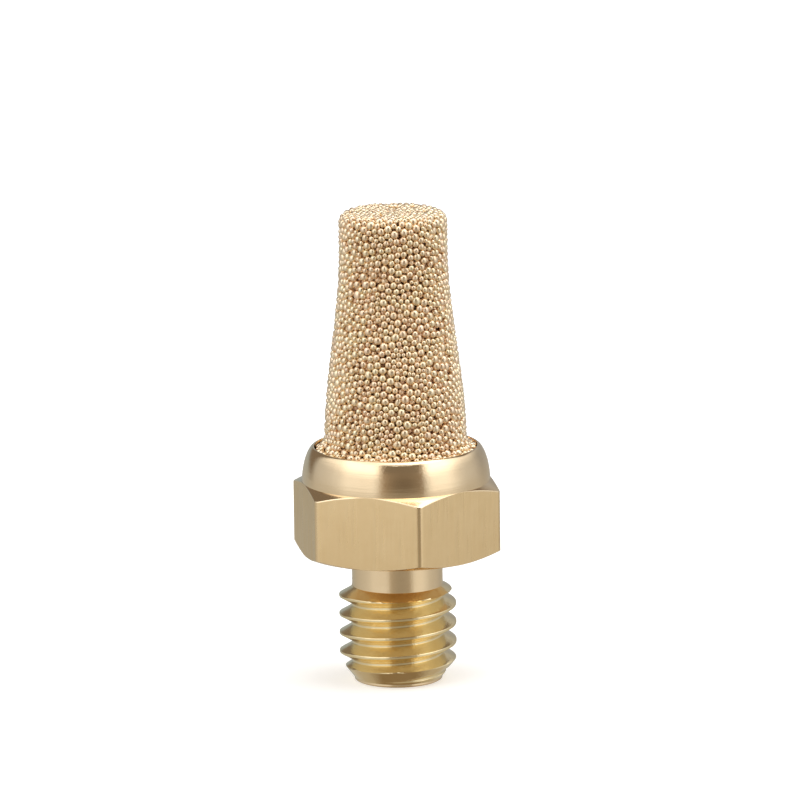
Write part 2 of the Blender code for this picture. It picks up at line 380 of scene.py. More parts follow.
def grid_faces(rows, columns, closed_rows):
    """Quads over a grid of rows round the axis; the rows themselves close up when asked."""
    faces = []
    last = rows if closed_rows else rows - 1
    for row in range(last):
        above = (row + 1) % rows
        for column in range(columns):
            after = (column + 1) % columns
            faces.append((row * columns + column, row * columns + after,
                          above * columns + after, above * columns + column))
    return faces


# ---------------------------------------------------------------- hexagon body

def hexagon_angles():
    """Column angles, close together near each corner of the hexagon."""
    sector = 2 * math.pi / HEX_SIDES
    local = []
    for step in range(CORNER_STEPS):
        local.append(-CORNER_ZONE + 2 * CORNER_ZONE * step / CORNER_STEPS)
    for step in range(FLAT_STEPS):
        local.append(CORNER_ZONE + (sector - 2 * CORNER_ZONE) * step / FLAT_STEPS)
    angles = []
    for side in range(HEX_SIDES):
        for angle in local:
            angles.append(side * sector + angle)
    return np.array(angles)


def hexagon_radius(angles, apothem):
    """Distance from the axis to the flats, with round vertical corners; a corner lies on +X."""
    sector = 2 * math.pi / HEX_SIDES
    from_corner = (angles + sector / 2) % sector - sector / 2
    flat = apothem / np.cos(sector / 2 - np.abs(from_corner))
    centre = (apothem - HEX_CORNER_ROUNDING) / math.cos(sector / 2)
    sideways = centre * np.sin(from_corner)
    inside = np.clip(HEX_CORNER_ROUNDING**2 - sideways**2, 0, None)
    arc = centre * np.cos(from_corner) + np.sqrt(inside)
    tangent = math.atan2(
        HEX_CORNER_ROUNDING * math.sin(sector / 2),
        centre + HEX_CORNER_ROUNDING * math.cos(sector / 2),
    )
    return np.where(np.abs(from_corner) < tangent, arc, flat)


def collar_outline():
    """The collar's domed outside from the hexagon up to the lip."""
    points = []
    for step in range(COLLAR_STEPS + 1):
        rise = 1 - (1 - step / COLLAR_STEPS) ** 2
        swell = (1 - rise**COLLAR_FULLNESS) ** COLLAR_ROUNDING
        radius = LIP_TIP_RADIUS + (HEX_FACE_RADIUS - LIP_TIP_RADIUS) * swell
        points.append((radius, HEX_TOP + (COLLAR_TOP - HEX_TOP) * rise))
    return points


def body_column(corner_radius):
    """The body's closed outline at one angle, where the hexagon reaches corner_radius."""
    reach = corner_radius - HEX_FACE_RADIUS
    drop = reach * math.tan(HEX_CHAMFER_ANGLE)
    foot_drop = reach * math.tan(HEX_FOOT_ANGLE)
    lip_bottom = COLLAR_TOP - LIP_DEPTH
    cone_bottom = lip_bottom - LIP_CONE_HEIGHT
    relief_top = HEX_BOTTOM + SEAT_RELIEF_DEPTH
    neck_start = THREAD_TOP - NECK_STEP_DROP
    core_bottom = END_RING_HEIGHT + CORE_BEND

    lower = [
        (BORE_RADIUS, BORE_COUNTERSINK, NO_ROUNDING),
        (BORE_RADIUS + BORE_COUNTERSINK, 0.0, COUNTERSINK_ROUNDING),
        (END_FACE_RADIUS, 0.0, END_FACE_ROUNDING),
        (END_RING_RADIUS, END_RING_EDGE, END_RING_ROUNDING),
        (END_RING_RADIUS, END_RING_HEIGHT, NO_ROUNDING),
        (CORE_RADIUS, core_bottom, NO_ROUNDING),
        (CORE_RADIUS, neck_start, NO_ROUNDING),
        (NECK_RADIUS, THREAD_TOP, NO_ROUNDING),
        (NECK_RADIUS, relief_top, NECK_FILLET),
        (SEAT_RELIEF_RADIUS, relief_top, RELIEF_FILLET),
        (SEAT_RELIEF_RADIUS, HEX_BOTTOM, RELIEF_ROUNDING),
        (HEX_FACE_RADIUS, HEX_BOTTOM, HEX_FOOT_ROUNDING),
        (corner_radius, HEX_BOTTOM + foot_drop, HEX_FOOT_ROUNDING),
        (corner_radius, HEX_TOP - drop, HEX_CHAMFER_ROUNDING),
        (HEX_FACE_RADIUS, HEX_TOP, NO_ROUNDING),
    ]
    upper = [
        (LIP_TIP_RADIUS, COLLAR_TOP, NO_ROUNDING),
        (LIP_RADIUS, COLLAR_TOP, LIP_ROUNDING),
        (LIP_RADIUS, lip_bottom, NO_ROUNDING),
        (SOCKET_RADIUS, cone_bottom, NO_ROUNDING),
        (SOCKET_RADIUS, SOCKET_FLOOR, NO_ROUNDING),
        (BORE_RADIUS, SOCKET_FLOOR, NO_ROUNDING),
        (BORE_RADIUS, BORE_COUNTERSINK, NO_ROUNDING),
    ]
    outside = rounded_corners(lower)
    collar = [np.array(point) for point in collar_outline()[1:-1]]
    inside = rounded_corners(upper)[:-1]
    return outside + collar + inside


def body_finish(columns, angles):
    """How satin each point is: 1 on the flats, less on the neck and at corners, 0 where polished."""
    sharpest = columns[np.argmax([column[:, 0].max() for column in columns])]
    flat_rows = np.abs(sharpest[:, 0] - sharpest[:, 0].max()) < TINY
    neck_rows = np.abs(sharpest[:, 0] - NECK_RADIUS) < TINY
    sector = 2 * math.pi / HEX_SIDES
    from_corner = np.abs((angles + sector / 2) % sector - sector / 2)
    worn = 1 - CORNER_WEAR * np.exp(-(from_corner / CORNER_WEAR_ANGLE) ** 2)
    finish = np.zeros((len(sharpest), len(angles)))
    finish[flat_rows] = worn
    finish[neck_rows] = NECK_SATIN
    return finish


def store(piece, label, values):
    """Keeps one number on each point of a piece, for its material to read."""
    attribute = piece.data.attributes.new(label, "FLOAT", "POINT")
    attribute.data.foreach_set("value", np.asarray(values, np.float32).ravel())


def turned_body(apothem):
    """The whole turned body as one closed skin, a column of points at each angle."""
    angles = hexagon_angles()
    radii = hexagon_radius(angles, apothem)
    columns = [np.array(body_column(radius)) for radius in radii]
    rows = len(columns[0])
    outline = np.stack(columns, axis=1)
    points = np.empty((rows, len(angles), 3))
    points[:, :, 0] = outline[:, :, 0] * np.cos(angles)
    points[:, :, 1] = outline[:, :, 0] * np.sin(angles)
    points[:, :, 2] = outline[:, :, 1]
    faces = grid_faces(rows, len(angles), closed_rows=True)
    piece = mesh_object("turned_body", points.reshape(-1, 3), faces, BODY_CREASE_ANGLE)
    store(piece, "satin", body_finish(columns, angles))
    return piece


# ---------------------------------------------------------------- thread

def tooth_profile():
    """Radius against distance from the crest's middle, over half a pitch."""
    half_crest = THREAD_CREST_WIDTH / 2
    depth = THREAD_CREST_RADIUS - THREAD_ROOT_RADIUS
    foot = half_crest + depth * math.tan(THREAD_FLANK_ANGLE)
    corners = [
        (0.0, THREAD_CREST_RADIUS),
        (half_crest, THREAD_CREST_RADIUS),
        (foot, THREAD_ROOT_RADIUS),
        (THREAD_PITCH / 2, THREAD_ROOT_RADIUS),
    ]
    line = rounded(corners, [THREAD_CREST_FILLET, THREAD_ROOT_FILLET], TOOTH_ROUNDING_STEPS)
    flank_start = TOOTH_ROUNDING_STEPS + 1
    flank_end = flank_start + 1
    flank = divided(line[flank_start], line[flank_end], TOOTH_FLANK_STEPS)
    return np.array(line[:flank_end] + flank + line[flank_end:])


def thread_points():
    """Rows that follow the helix, over more turns than the thread keeps."""
    half = tooth_profile()
    phases = np.concatenate([half[:-1, 0], THREAD_PITCH - half[:0:-1, 0]])
    radii = np.concatenate([half[:-1, 1], half[:0:-1, 1]])
    rows_per_turn = len(phases)
    rows = rows_per_turn * THREAD_TURNS
    turn = np.repeat(np.arange(THREAD_TURNS), rows_per_turn)
    row_height = np.tile(phases, THREAD_TURNS) + (turn - THREAD_TURNS_BELOW) * THREAD_PITCH
    row_radius = np.tile(radii, THREAD_TURNS)
    angles = 2 * math.pi * np.arange(THREAD_COLUMNS) / THREAD_COLUMNS
    height = row_height[:, None] + THREAD_PITCH * angles[None, :] / (2 * math.pi)
    radius = np.repeat(row_radius[:, None], THREAD_COLUMNS, axis=1)
    return rows, rows_per_turn, angles, height, radius


def soft_lower(first, second, width):
    """The lower of two values, with a soft change from one to the other."""
    return (first + second - np.sqrt((first - second) ** 2 + width**2)) / 2


def trimmed_radius(radius, height):
    """The thread's radius after its lead chamfer below and its run-out cone above."""
    lead = END_RING_RADIUS + (height - END_RING_HEIGHT) * math.tan(LEAD_CHAMFER_ANGLE)
    run_out = NECK_RADIUS + (THREAD_TOP - height) / math.tan(RUN_OUT_ANGLE)
    trimmed = soft_lower(radius, lead, THREAD_BLEND)
    trimmed = soft_lower(trimmed, run_out, THREAD_BLEND)
    return np.maximum(trimmed, THREAD_INSIDE_RADIUS)


def helical_faces(rows, rows_per_turn):
    """Quads of the helical skin; the last column joins the first one a turn higher."""
    faces = []
    for row in range(rows - 1):
        for column in range(THREAD_COLUMNS):
            if column < THREAD_COLUMNS - 1:
                after, shift = column + 1, 0
            else:
                after, shift = 0, rows_per_turn
            if row + shift + 1 >= rows:
                continue
            faces.append((row * THREAD_COLUMNS + column,
                          (row + shift) * THREAD_COLUMNS + after,
                          (row + shift + 1) * THREAD_COLUMNS + after,
                          (row + 1) * THREAD_COLUMNS + column))
    return faces


def cut_level(shape, height, keep_above):
    """Cuts a shape level at a height and drops what lies on one side."""
    geometry = shape.verts[:] + shape.edges[:] + shape.faces[:]
    bmesh.ops.bisect_plane(
        shape,
        geom=geometry,
        dist=TINY,
        plane_co=(0, 0, height),
        plane_no=(0, 0, 1),
        clear_inner=keep_above,
        clear_outer=not keep_above,
    )


def close_inward(shape):
    """Takes the open rims in to the inside radius and bridges them with a hidden inner wall."""
    rims = [edge for edge in shape.edges if edge.is_boundary]
    grown = bmesh.ops.extrude_edge_only(shape, edges=rims)["geom"]
    for item in grown:
        if isinstance(item, bmesh.types.BMVert):
            outward = Vector((item.co.x, item.co.y, 0)).normalized()
            item.co = outward * THREAD_HIDDEN_RADIUS + Vector((0, 0, item.co.z))
    inner = [item for item in grown if isinstance(item, bmesh.types.BMEdge)]
    bmesh.ops.bridge_loops(shape, edges=inner)


def sort_faces(shape):
    """Lists the faces by their corners, because bridging lists them in no fixed order."""
    shape.verts.index_update()
    count = len(shape.verts)

    def rank(face):
        corners = [vertex.index for vertex in face.verts]
        return (min(corners) * count + max(corners)) * count + sum(corners) % count

    shape.faces.sort(key=rank)


def rolled_thread():
    """The thread as one closed skin that follows the helix, cut level at both ends."""
    rows, rows_per_turn, angles, height, radius = thread_points()
    radius = trimmed_radius(radius, height)
    points = np.empty((rows, THREAD_COLUMNS, 3))
    points[:, :, 0] = radius * np.cos(angles)
    points[:, :, 1] = radius * np.sin(angles)
    points[:, :, 2] = height
    faces = helical_faces(rows, rows_per_turn)
    piece = mesh_object("rolled_thread", points.reshape(-1, 3), faces)
    shape = bmesh.new()
    shape.from_mesh(piece.data)
    cut_level(shape, THREAD_BOTTOM, keep_above=True)
    cut_level(shape, THREAD_TOP, keep_above=False)
    close_inward(shape)
    sort_faces(shape)
    bmesh.ops.recalc_face_normals(shape, faces=shape.faces)
    shape.to_mesh(piece.data)
    shape.free()
    piece.data.shade_smooth()
    piece.data.set_sharp_from_angle(angle=THREAD_CREASE_ANGLE)
    return piece


# ---------------------------------------------------------------- bead packing

def taper_radius(height):
    """The element's radius at a height, easing from its root to its tip."""
    share = np.clip((TAPER_TOP - height) / (TAPER_TOP - TAPER_BOTTOM), 0.0, 1.0)
    eased = share * share * (3 - 2 * share)
    return ELEMENT_TIP_RADIUS + (ELEMENT_ROOT_RADIUS - ELEMENT_TIP_RADIUS) * eased


def quarter_turn(steps):
    """Angles that divide a quarter circle evenly, without its start."""
    return [math.pi / 2 * step / steps for step in range(1, steps + 1)]


def mould_outline(top):
    """The mould's wall as (radius, height) points, from below the lip up to the axis."""
    flare_top = FLARE_BOTTOM + FLARE_HEIGHT
    throat = taper_radius(np.array(flare_top))
    line = [(FLARE_RADIUS, BEAD_FOOT - MOULD_TAIL), (FLARE_RADIUS, FLARE_BOTTOM)]
    for angle in quarter_turn(MOULD_EDGE_STEPS):
        line.append((
            FLARE_RADIUS - (FLARE_RADIUS - throat) * math.sin(angle),
            flare_top - FLARE_HEIGHT * math.cos(angle),
        ))
    for height in np.linspace(flare_top, top - TOP_EDGE_RADIUS, MOULD_TAPER_POINTS)[1:]:
        line.append((float(taper_radius(height)), float(height)))
    for angle in quarter_turn(MOULD_EDGE_STEPS):
        line.append((
            ELEMENT_TIP_RADIUS - TOP_EDGE_RADIUS * (1 - math.cos(angle)),
            top - TOP_EDGE_RADIUS * (1 - math.sin(angle)),
        ))
    line.append((0.0, top))
    return np.array(line)


class Mould:
    """The space the beads fill: a shell inside the wall."""

    def __init__(self, outline):
        self.start = outline[:-1]
        self.along = outline[1:] - outline[:-1]
        self.length = np.linalg.norm(self.along, axis=1)
        unit = self.along / self.length[:, None]
        self.inward = np.stack([-unit[:, 1], unit[:, 0]], axis=1)

    def depth(self, centres):
        """Depth of each point behind the wall, and the wall's inward direction there."""
        radius = np.hypot(centres[:, 0], centres[:, 1])
        flat = np.stack([radius, centres[:, 2]], axis=1)
        relative = flat[:, None, :] - self.start[None, :, :]
        share = (relative * self.along).sum(axis=2) / self.length**2
        share = np.clip(share, 0, 1)
        away = relative - share[:, :, None] * self.along
        distance = np.linalg.norm(away, axis=2)
        nearest = distance.argmin(axis=1)
        pick = np.arange(len(centres))
        gap = away[pick, nearest]
        side = np.sign((gap * self.inward[nearest]).sum(axis=1))
        side[side == 0] = 1
        depth = distance[pick, nearest] * side
        size = np.maximum(distance[pick, nearest], TINY)
        direction = gap / size[:, None] * side[:, None]
        close = distance[pick, nearest] < 10 * TINY
        direction[close] = self.inward[nearest][close]
        radius = np.maximum(radius, TINY)
        inward = np.empty_like(centres)
        inward[:, 0] = direction[:, 0] * centres[:, 0] / radius
        inward[:, 1] = direction[:, 0] * centres[:, 1] / radius
        inward[:, 2] = direction[:, 1]
        return depth, inward


def near_pairs(centres, reach):
    """All pairs of centres that lie within reach of each other along each axis."""
    cells = np.floor((centres - centres.min(axis=0)) / reach).astype(np.int64) + 1
    spans = cells.max(axis=0) + 2
    keys = (cells[:, 0] * spans[1] + cells[:, 1]) * spans[2] + cells[:, 2]
    order = np.argsort(keys, kind="stable")
    ranked = keys[order]
    firsts, seconds = [], []
    for offset in np.ndindex(3, 3, 3):
        shift = np.array(offset) - 1
        step = (shift[0] * spans[1] + shift[1]) * spans[2] + shift[2]
        if step < 0:
            continue
        begin = np.searchsorted(ranked, keys + step, "left")
        end = np.searchsorted(ranked, keys + step, "right")
        counts = end - begin
        first = np.repeat(np.arange(len(centres)), counts)
        within = np.arange(counts.sum()) - np.repeat(np.cumsum(counts) - counts, counts)
        second = order[np.repeat(begin, counts) + within]
        keep = first < second if step == 0 else np.ones(len(first), bool)
        firsts.append(first[keep])
        seconds.append(second[keep])
    first = np.concatenate(firsts)
    second = np.concatenate(seconds)
    close = np.abs(centres[first] - centres[second]).max(axis=1) < reach
    return first[close], second[close]


def bead_radii(random, count):
    """Random bead sizes round the mean, without the extremes."""
    diameters = random.normal(BEAD_MEAN, BEAD_SPREAD, count)
    return np.clip(diameters, BEAD_SMALLEST, BEAD_LARGEST) / 2


def loose_beads(random, mould, top):
    """Enough random centres inside the shell for the wanted fill."""
    spread = random.uniform(-1, 1, (PACK_TRIES, 3))
    centres = np.empty((PACK_TRIES, 3))
    centres[:, :2] = spread[:, :2] * FLARE_RADIUS
    centres[:, 2] = BEAD_FOOT + (spread[:, 2] + 1) / 2 * (top - BEAD_FOOT)
    depth, _ = mould.depth(centres)
    inside = (depth > BEAD_SMALLEST / 2) & (depth < BEAD_SHELL)
    tried_volume = 4 * FLARE_RADIUS**2 * (top - BEAD_FOOT)
    volume = tried_volume * inside.mean() * BEAD_SHELL / (BEAD_SHELL - BEAD_SMALLEST / 2)
    bead_volume = math.pi / 6 * BEAD_MEAN**3 * BEAD_VOLUME_GAIN
    count = int(BEAD_FILL * volume / bead_volume)
    return centres[inside][:count]


def pushed_apart(centres, radii, first, second):
    """The centres after every overlapping pair has pushed its two beads apart a little."""
    gap = centres[second] - centres[first]
    distance = np.maximum(np.linalg.norm(gap, axis=1), TINY)
    overlap = radii[first] + radii[second] - distance
    touching = overlap > 0
    pushed_back, pushed_on = first[touching], second[touching]
    push = gap[touching] * (PUSH_SHARE * overlap[touching] / distance[touching])[:, None]
    move = np.zeros_like(centres)
    for axis in range(3):
        move[:, axis] += np.bincount(pushed_on, push[:, axis], len(centres))
        move[:, axis] -= np.bincount(pushed_back, push[:, axis], len(centres))
    size = np.linalg.norm(move, axis=1)
    limit = LONGEST_STEP * radii
    return centres + move * np.minimum(1, limit / np.maximum(size, TINY))[:, None]


def pressed_to_wall(centres, radii, mould):
    """The centres drawn towards the wall, and kept between it and the shell's inner side."""
    depth, inward = mould.depth(centres)
    centres = centres - inward * (PULL_SHARE * radii)[:, None]
    depth = depth - PULL_SHARE * radii
    short = np.clip(radii - depth, 0, None)
    centres = centres + inward * short[:, None]
    deep = np.clip(depth - (BEAD_SHELL - SHELL_MARGIN), 0, None)
    centres = centres - inward * deep[:, None]
    centres[:, 2] = np.maximum(centres[:, 2], BEAD_FOOT)
    return centres


def packed_beads(top):
    """Beads pushed apart until they lie side by side against the mould's wall."""
    random = np.random.default_rng(SEED)
    mould = Mould(mould_outline(top))
    centres = loose_beads(random, mould, top)
    radii = bead_radii(random, len(centres))
    reach = 2 * radii.max() * PACK_REACH
    for turn in range(PACK_ROUNDS):
        if turn % PACK_REFRESH == 0:
            first, second = near_pairs(centres, reach)
        centres = pushed_apart(centres, radii, first, second)
        centres = pressed_to_wall(centres, radii, mould)
    return centres, radii * BEAD_OVERLAP


def kept_inside(top, centres, reach):
    """The centres moved in so that nothing within reach passes the mould's wall, and their depths."""
    mould = Mould(mould_outline(top))
    depth, inward = mould.depth(centres)
    centres = centres + inward * np.clip(reach - depth, 0, None)[:, None]
    return centres, mould.depth(centres)[0]


# ---------------------------------------------------------------- bead meshes

def ball(subdivisions):
    """The points and triangles of a ball of radius 1."""
    shape = bmesh.new()
    bmesh.ops.create_icosphere(shape, subdivisions=subdivisions, radius=1.0)
    points = np.array([vertex.co for vertex in shape.verts])
    faces = np.array([[vertex.index for vertex in face.verts] for face in shape.faces])
    shape.free()
    return points, faces


def random_turns(random, count):
    """Random rotation matrices."""
    q = random.normal(size=(count, 4))
    q /= np.linalg.norm(q, axis=1)[:, None]
    w, x, y, z = q.T
    rows = [
        [1 - 2 * (y * y + z * z), 2 * (x * y - z * w), 2 * (x * z + y * w)],
        [2 * (x * y + z * w), 1 - 2 * (x * x + z * z), 2 * (y * z - x * w)],
        [2 * (x * z - y * w), 2 * (y * z + x * w), 1 - 2 * (x * x + y * y)],
    ]
    return np.array([[np.asarray(cell) for cell in row] for row in rows]).transpose(2, 0, 1)


def bead_cloud(name, centres, radii, shapes, turns, tints, depths, subdivisions):
    """One mesh of many beads, each with its own tint and depth stored on its points."""
    ball_points, ball_faces = ball(subdivisions)
    count, per_ball = len(centres), len(ball_points)
    stretched = ball_points[None, :, :] * shapes[:, None, :]
    turned = np.einsum("nij,npj->npi", turns, stretched)
    points = turned * radii[:, None, None] + centres[:, None, :]
    faces = ball_faces[None, :, :] + (np.arange(count) * per_ball)[:, None, None]
    piece = mesh_object(name, points.reshape(-1, 3), faces.reshape(-1, 3))
    store(piece, "tint", np.repeat(tints, per_ball))
    store(piece, "depth", np.repeat(depths, per_ball))
    return piece


def bead_shapes(random, count):
    """Stretch of each bead along three axes: nearly round, and a few of them long."""
    shapes = 1 + random.normal(0, BEAD_WOBBLE, (count, 3))
    shapes = np.clip(shapes, BEAD_FLATTEST, BEAD_LONGEST)
    long_ones = random.uniform(0, 1, count) < LONG_BEAD_SHARE
    shapes[long_ones] *= np.array(LONG_BEAD_STRETCH)
    return shapes


def sintered_beads(top):
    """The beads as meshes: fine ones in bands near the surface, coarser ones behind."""
    centres, radii = packed_beads(top)
    random = np.random.default_rng(SEED + 1)
    count = len(centres)
    tints = random.uniform(0, 1, count)
    shapes = bead_shapes(random, count)
    turns = random_turns(random, count)
    centres, depths = kept_inside(top, centres, radii * shapes.max(axis=1))
    buried = depths - radii
    # How far each bead is painted towards the dark red-brown of shade, by how deep it lies
    shade_shares = np.clip(buried / DARKEST_DEPTH, 0, 1)
    low, high = centres[:, 2].min(), centres[:, 2].max() + TINY
    band = ((centres[:, 2] - low) / (high - low) * BEAD_BANDS).astype(int)
    pieces = []

    def add(name, chosen, subdivisions):
        pieces.append(bead_cloud(name, centres[chosen], radii[chosen], shapes[chosen],
                                 turns[chosen], tints[chosen], shade_shares[chosen], subdivisions))

    outer = buried < OUTER_LAYER
    for number in range(BEAD_BANDS):
        add(f"sintered_beads_{number + 1}", outer & (band == number), OUTER_BALL)
    inner = ~outer & (buried < INNER_LAYER)
    lower = centres[:, 2] < (low + high) / 2
    add("inner_beads_lower", inner & lower, INNER_BALL)
    add("inner_beads_upper", inner & ~lower, INNER_BALL)
    return pieces


def element_core(top):
    """A cup behind the beads, so that no gap between them lets light through; its dark colour is
    painted shade standing for the deeper beads.
    """
    bottom = BEAD_FOOT - CORE_TAIL
    line = [(FLARE_RADIUS - CORE_DEPTH, bottom)]
    for radius, height in mould_outline(top):
        inner_radius = radius - CORE_DEPTH
        inner_height = min(height, top - CORE_DEPTH)
        if inner_radius > 0 and inner_height > bottom:
            line.append((inner_radius, inner_height))
    angles = 2 * math.pi * np.arange(CORE_COLUMNS) / CORE_COLUMNS
    points = [(r * math.cos(a), r * math.sin(a), z) for r, z in line for a in angles]
    faces = grid_faces(len(line), CORE_COLUMNS, closed_rows=False)
    faces.append(tuple(range(CORE_COLUMNS))[::-1])
    faces.append(tuple(range((len(line) - 1) * CORE_COLUMNS, len(line) * CORE_COLUMNS)))
    return mesh_object("element_core", points, faces, CORE_CREASE_ANGLE)


# ---------------------------------------------------------------- materials

def new_material(name):
    """A metallic material, its node tree and its shader."""
    material = bpy.data.materials.new(name)
    material.use_nodes = True
    tree = material.node_tree
    shader = tree.nodes["Principled BSDF"]
    shader.inputs["Metallic"].default_value = 1.0
    return material, tree, shader


def node(tree, kind, **settings):
    """A new node with the given settings."""
    made = tree.nodes.new(kind)
    for key, value in settings.items():
        setattr(made, key, value)
    return made


def feed(tree, value, socket):
    """Links a socket to another one, or sets it to a number or a colour."""
    if isinstance(value, bpy.types.NodeSocket):
        tree.links.new(value, socket)
    elif isinstance(value, tuple):
        socket.default_value = (*value, 1.0)
    else:
        socket.default_value = value


def millimetres(tree, stretch):
    """Object coordinates in millimetres, each axis multiplied by its stretch."""
    place = node(tree, "ShaderNodeTexCoord")
    mapping = node(tree, "ShaderNodeMapping")
    mapping.inputs["Scale"].default_value = tuple(value / MM for value in stretch)
    tree.links.new(place.outputs["Object"], mapping.inputs["Vector"])
    return mapping.outputs["Vector"]


def noise(tree, pattern):
    """The value, from 0 to 1, of one of the noise patterns above."""
    scale, octaves, strength, stretch = pattern
    made = node(tree, "ShaderNodeTexNoise")
    made.inputs["Scale"].default_value = scale
    made.inputs["Detail"].default_value = octaves
    made.inputs["Roughness"].default_value = strength
    tree.links.new(millimetres(tree, stretch), made.inputs["Vector"])
    return made.outputs["Fac"]


def ranged(tree, value, low, high, new_low, new_high):
    """A value taken from one range to another, and held at the new range's ends."""
    made = node(tree, "ShaderNodeMapRange")
    made.inputs["From Min"].default_value = low
    made.inputs["From Max"].default_value = high
    made.inputs["To Min"].default_value = new_low
    made.inputs["To Max"].default_value = new_high
    tree.links.new(value, made.inputs["Value"])
    return made.outputs["Result"]


def mixed_colour(tree, factor, first, second):
    """A colour between two others."""
    made = node(tree, "ShaderNodeMix", data_type="RGBA")
    feed(tree, factor, made.inputs["Factor"])
    feed(tree, first, made.inputs[MIX_FIRST_COLOUR])
    feed(tree, second, made.inputs[MIX_SECOND_COLOUR])
    return made.outputs[MIX_COLOUR_RESULT]


def bumped(tree, shader, *bumps):
    """Chains bumps, each a pattern and its depth, into the shader's normal."""
    normal = None
    for height, depth in bumps:
        bump = node(tree, "ShaderNodeBump")
        bump.inputs["Strength"].default_value = 1.0
        bump.inputs["Distance"].default_value = depth
        tree.links.new(height, bump.inputs["Height"])
        if normal is not None:
            tree.links.new(normal, bump.inputs["Normal"])
        normal = bump.outputs["Normal"]
    tree.links.new(normal, shader.inputs["Normal"])


def blended(tree, factor, first, second):
    """A number between two others."""
    made = node(tree, "ShaderNodeMix", data_type="FLOAT")
    feed(tree, factor, made.inputs["Factor"])
    feed(tree, first, made.inputs["A"])
    feed(tree, second, made.inputs["B"])
    return made.outputs["Result"]


def maths(tree, operation, first, second=None):
    """The result of a sum on one or two values."""
    made = node(tree, "ShaderNodeMath", operation=operation)
    feed(tree, first, made.inputs[0])
    if second is not None:
        feed(tree, second, made.inputs[1])
    return made.outputs["Value"]


def stored(tree, label):
    """A number that was stored on the points of a piece."""
    return node(tree, "ShaderNodeAttribute", attribute_name=label).outputs["Fac"]


def body_brass(name):
    """Turned brass: polished with fine tool lines, and satin drawn flats with a faint mottling."""
    material, tree, shader = new_material(name)
    satin = stored(tree, "satin")
    polished = maths(tree, "SUBTRACT", 1.0, satin)
    patches = ranged(tree, noise(tree, BODY_PATCHES), *NARROW, 0, 1)
    turned_tone = mixed_colour(tree, patches, *TURNED_COLOURS)
    drawn_tone = mixed_colour(tree, patches, *DRAWN_COLOURS)
    drawn = ranged(tree, satin, NECK_SATIN, 1.0, 0, 1)
    tone = mixed_colour(tree, drawn, turned_tone, drawn_tone)
    tree.links.new(tone, shader.inputs["Base Color"])

    fine_lines = noise(tree, FINE_LINES)
    broad_lines = noise(tree, BROAD_LINES)
    drawing = noise(tree, DRAWING)
    turned_gloss = ranged(tree, fine_lines, *WIDE, *TURNED_ROUGHNESS)
    drawn_gloss = ranged(tree, drawing, *NARROW, *DRAWN_ROUGHNESS)
    gloss = blended(tree, satin, turned_gloss, drawn_gloss)
    tree.links.new(gloss, shader.inputs["Roughness"])
    bumped(
        tree,
        shader,
        (maths(tree, "MULTIPLY", fine_lines, polished), FINE_LINE_DEPTH),
        (maths(tree, "MULTIPLY", broad_lines, polished), BROAD_LINE_DEPTH),
        (maths(tree, "MULTIPLY", drawing, satin), DRAWING_DEPTH),
        (noise(tree, MOTTLE), MOTTLE_DEPTH),
    )
    return material


def thread_brass(name):
    """Rolled thread: brighter gold, burnished unevenly along its crests and flanks."""
    material, tree, shader = new_material(name)
    patches = ranged(tree, noise(tree, THREAD_PATCHES), *NARROW, 0, 1)
    tone = mixed_colour(tree, patches, *THREAD_COLOURS)
    tree.links.new(tone, shader.inputs["Base Color"])
    lines = noise(tree, THREAD_LINES)
    gloss = ranged(tree, lines, *WIDE, *THREAD_ROUGHNESS)
    tree.links.new(gloss, shader.inputs["Roughness"])
    bumped(
        tree,
        shader,
        (lines, THREAD_LINE_DEPTH),
        (noise(tree, THREAD_DENTS), THREAD_DENT_DEPTH),
        (noise(tree, THREAD_SPECKS), THREAD_SPECK_DEPTH),
    )
    return material


def bronze_beads(name):
    """Bronze beads: each has its own tint, and those further in are painted redder and darker as
    shade, and are duller.
    """
    material, tree, shader = new_material(name)
    depth = stored(tree, "depth")
    pale = mixed_colour(tree, stored(tree, "tint"), *BEAD_COLOURS)
    blotches = ranged(tree, noise(tree, BEAD_BLOTCHES), *BLOTCH_RANGE, 0, 1)
    warm = mixed_colour(tree, blotches, pale, BLOTCH_COLOUR)
    # Painted shade: the deeper a bead lies, the darker and redder its colour
    tone = mixed_colour(tree, depth, warm, BURIED_SHADE_COLOUR)
    tree.links.new(tone, shader.inputs["Base Color"])
    metallic = ranged(tree, depth, *METALLIC_RANGE, *BEAD_METALLIC)
    tree.links.new(metallic, shader.inputs["Metallic"])
    grain = noise(tree, BEAD_GRAIN)
    gloss = ranged(tree, grain, *NARROW, *BEAD_ROUGHNESS)
    tree.links.new(gloss, shader.inputs["Roughness"])
    bumped(tree, shader, (grain, BEAD_GRAIN_DEPTH))
    return material


def painted_shade_core(name):
    """Painted shade: the dull bronze of the cup behind the beads, coloured dark as the deeper beads
    in shade.
    """
    material, tree, shader = new_material(name)
    specks = noise(tree, CORE_SPECKS)
    tone = mixed_colour(tree, specks, *CORE_SHADE_COLOURS)
    tree.links.new(tone, shader.inputs["Base Color"])
    shader.inputs["Roughness"].default_value = CORE_ROUGHNESS
    bumped(tree, shader, (specks, CORE_SPECK_DEPTH))
    return material


def pale_floor(name):
    """The floor's matt white, with a little light of its own."""
    material, _, shader = new_material(name)
    shader.inputs["Metallic"].default_value = 0.0
    shader.inputs["Base Color"].default_value = (*FLOOR_COLOUR, 1.0)
    shader.inputs["Roughness"].default_value = FLOOR_ROUGHNESS
    shader.inputs["Specular IOR Level"].default_value = 0.0
    shader.inputs["Emission Color"].default_value = (*FLOOR_GLOW_COLOUR, 1.0)
    shader.inputs["Emission Strength"].default_value = FLOOR_GLOW
    return material


# ---------------------------------------------------------------- studio

def camera_axes(back):
    """Right, up and backward directions of a level camera that looks away from back."""
    right = Vector((0, 0, 1)).cross(back).normalized()
    return right, back.cross(right), back


